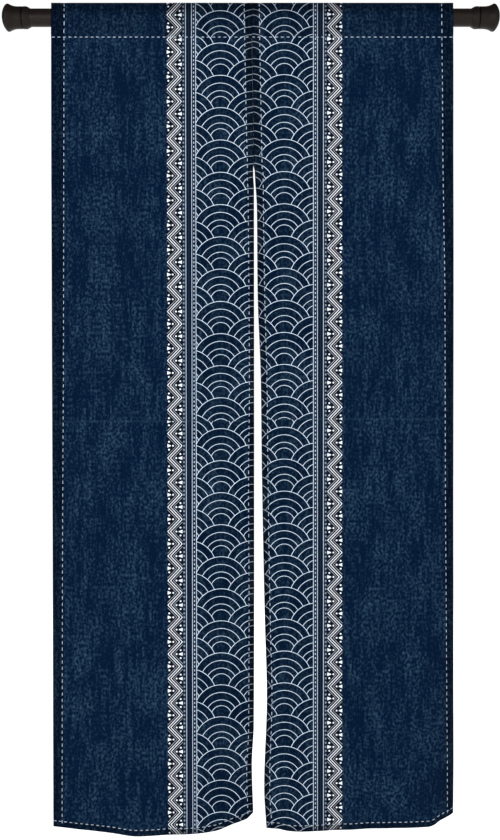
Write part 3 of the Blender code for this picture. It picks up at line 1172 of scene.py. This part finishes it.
def reverse_cloth(panel):
    """The reverse: paler, with the print showing through faintly."""
    made, tree, shader = new_material("reverse_cloth_" + panel.name)
    across, down = mapped(tree, "cloth")
    plies = mapped(tree, "make")[0]
    design = printed_design(across, down)
    height, on_top = weave(across, down)
    seed = panel.seed + REVERSE_SEED
    fleck = noise(across, down, REVERSE_FLECK, seed) - 0.5
    slub = slubs(across, down, on_top, seed) - 0.5
    through = plies.math("MINIMUM", 1.0).opposite() * SHOWING_THROUGH
    colour = dimmed(tree, REVERSE, fleck * REVERSE_FLECKS + slub * REVERSE_SLUBS + 1.0)
    dark = design.navy.most(design.black)
    colour = blended(tree, dark * through * REVERSE_DARK, colour, NAVY)
    colour = blended(tree, design.pale.most(design.white) * through, colour, REVERSE_PRINT)
    surfaced(tree, shader, colour, CLOTH_ROUGHNESS, CLOTH_SPECULAR)
    bumped(tree, shader, height * WEAVE_RELIEF + slub * SLUB_RELIEF, CLOTH_BUMP)
    return made


def thread_finish():
    made, tree, shader = new_material("thread")
    along, around = mapped(tree, "thread")
    twist = ((along / TWIST_PITCH + around) * (2 * math.pi)).math("SINE")
    fuzz = noise(along, around, FUZZ) - 0.5
    each = noise(along, around, EACH_STITCH) - 0.5
    light = twist * TWIST_LIGHT + fuzz * FUZZ_LIGHT + each * STITCH_LIGHT + THREAD_LIGHT
    surfaced(tree, shader, dimmed(tree, THREAD, light), THREAD_ROUGHNESS, THREAD_SPECULAR)
    bumped(tree, shader, twist, THREAD_BUMP)
    return made


def lacquer(name, colour, roughness, speck):
    """Satin lacquer, with painted shade darkening it in the groove between foot and collar."""
    made, tree, shader = new_material(name)
    along, around = mapped(tree, "turned")
    cloud = noise(along, around, CLOUD) - 0.5
    grain = noise(along, around, speck)
    handled = noise(along, around, HANDLED) - 0.5
    # Painted shade: the colour darkens towards the joint of foot and collar, down to GROOVE_LIGHT in the
    # groove.
    joint = FOOT_LENGTH + FIT_GAP / 2
    groove = along.away(joint).math("MINIMUM", along.away(SPAN - joint))
    shade = ramp(groove, GROOVE_HALF, GROOVE_REACH) * (1 - GROOVE_LIGHT) + GROOVE_LIGHT
    tone = (cloud * CLOUD_LIGHT + (grain - 0.5) * SPECK_LIGHT + 1.0) * shade
    uneven = handled * HANDLED_ROUGHNESS + cloud * CLOUD_ROUGHNESS + roughness
    surfaced(tree, shader, dimmed(tree, colour, tone), uneven, LACQUER_SPECULAR)
    bumped(tree, shader, grain, LACQUER_BUMP)
    return made


# ---------------------------------------------------------------- the object

rod_finish = lacquer("bronze_lacquer", BRONZE, ROD_ROUGHNESS, ROD_SPECK)
moulded = lacquer("bronze_moulding", MOULDING, MOULDED_ROUGHNESS, MOULDED_SPECK)
end = SOCKET_FLOOR + FIT_GAP
rod = turned(
    "rod_lacquered",
    [(end, 0.0), (end, ROD_RADIUS), (SPAN - end, ROD_RADIUS), (SPAN - end, 0.0)],
    rod_finish,
)
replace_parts(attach(rod, "root"), "rod_tube")
fittings = (
    ("foot_cap_left", foot_profile(), "foot_left"),
    ("foot_cap_right", mirrored(foot_profile()), "foot_right"),
    ("ring_left", collar_profile(), "collar_left"),
    ("ring_right", mirrored(collar_profile()), "collar_right"),
)
for name, profile, node in fittings:
    piece = turned(name, profile, moulded)
    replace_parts(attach(piece, "root"), node)

thread = thread_finish()
for panel in (LEFT, RIGHT):
    cloth = panel_mesh(panel, printed_cloth(panel), reverse_cloth(panel))
    sewn = stitches(panel, thread)
    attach(cloth, "root")
    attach(sewn, "root")
    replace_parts(cloth, "panel_" + panel.name)

# ---------------------------------------------------------------- studio


def studio_floor():
    made, tree, shader = new_material("studio_floor")
    shader.inputs["Base Color"].default_value = FLOOR_GREY
    shader.inputs["Roughness"].default_value = FLOOR_ROUGHNESS
    shader.inputs["Emission Color"].default_value = WHITE
    shader.inputs["Emission Strength"].default_value = FLOOR_GLOW
    half = FLOOR_SIZE / 2
    z = CREASE_HEIGHT - LENGTH - FLOOR_DROP
    corners = [(EYE_X + x, y, z) for x, y in ((-half, -half), (half, -half), (half, half), (-half, half))]
    floor = mesh_object("floor", np.array(corners), np.array([(0, 1, 2, 3)]))
    floor.data.materials.append(made)


def area_light(lamp, aim):
    data = bpy.data.lights.new(lamp.name, "AREA")
    data.shape = "RECTANGLE"
    data.size, data.size_y = lamp.size
    data.energy = lamp.power
    made = bpy.data.objects.new(lamp.name, data)
    bpy.context.scene.collection.objects.link(made)
    made.location = lamp.place
    made.rotation_mode = "QUATERNION"
    heading = [a - p for a, p in zip(aim, lamp.place)]
    made.rotation_quaternion = Vector(heading).to_track_quat("-Z", "Y")


def surround():
    """Soft light from all round, a little brighter from below, before a white background."""
    world = bpy.data.worlds.new("studio")
    bpy.context.scene.world = world
    world.use_nodes = True
    tree = world.node_tree
    nodes = tree.nodes
    nodes.clear()
    seen = nodes.new("ShaderNodeBackground")
    seen.inputs["Color"].default_value = WHITE
    seen.inputs["Strength"].default_value = BACKGROUND
    lighting = nodes.new("ShaderNodeBackground")
    lighting.inputs["Color"].default_value = WHITE
    heading = nodes.new("ShaderNodeTexCoord")
    parts = nodes.new("ShaderNodeSeparateXYZ")
    tree.links.new(heading.outputs["Generated"], parts.inputs[0])
    below = ramp(Field(tree, parts.outputs[2]), BELOW_FROM, BELOW_FULL)
    feed(tree, lighting.inputs["Strength"], below * ROUND_LIGHT_BELOW + ROUND_LIGHT)
    path = nodes.new("ShaderNodeLightPath")
    joined = nodes.new("ShaderNodeMixShader")
    output = nodes.new("ShaderNodeOutputWorld")
    tree.links.new(path.outputs["Is Camera Ray"], joined.inputs[0])
    tree.links.new(lighting.outputs[0], joined.inputs[1])
    tree.links.new(seen.outputs[0], joined.inputs[2])
    tree.links.new(joined.outputs[0], output.inputs["Surface"])


studio_floor()
surround()
for lamp in LAMPS:
    area_light(lamp, (EYE_X, 0.0, EYE_HEIGHT))

camera_data = bpy.data.cameras.new("camera")
camera_data.sensor_width = SENSOR_WIDTH
camera_data.lens = SENSOR_WIDTH * EYE_DISTANCE / SIGHT_METRES
camera = bpy.data.objects.new("camera", camera_data)
camera.location = (EYE_X, -EYE_DISTANCE, EYE_HEIGHT)
camera.rotation_euler = (math.pi / 2, 0.0, 0.0)
bpy.context.scene.collection.objects.link(camera)
bpy.context.scene.camera = camera
bpy.context.scene.view_settings.view_transform = "Standard"
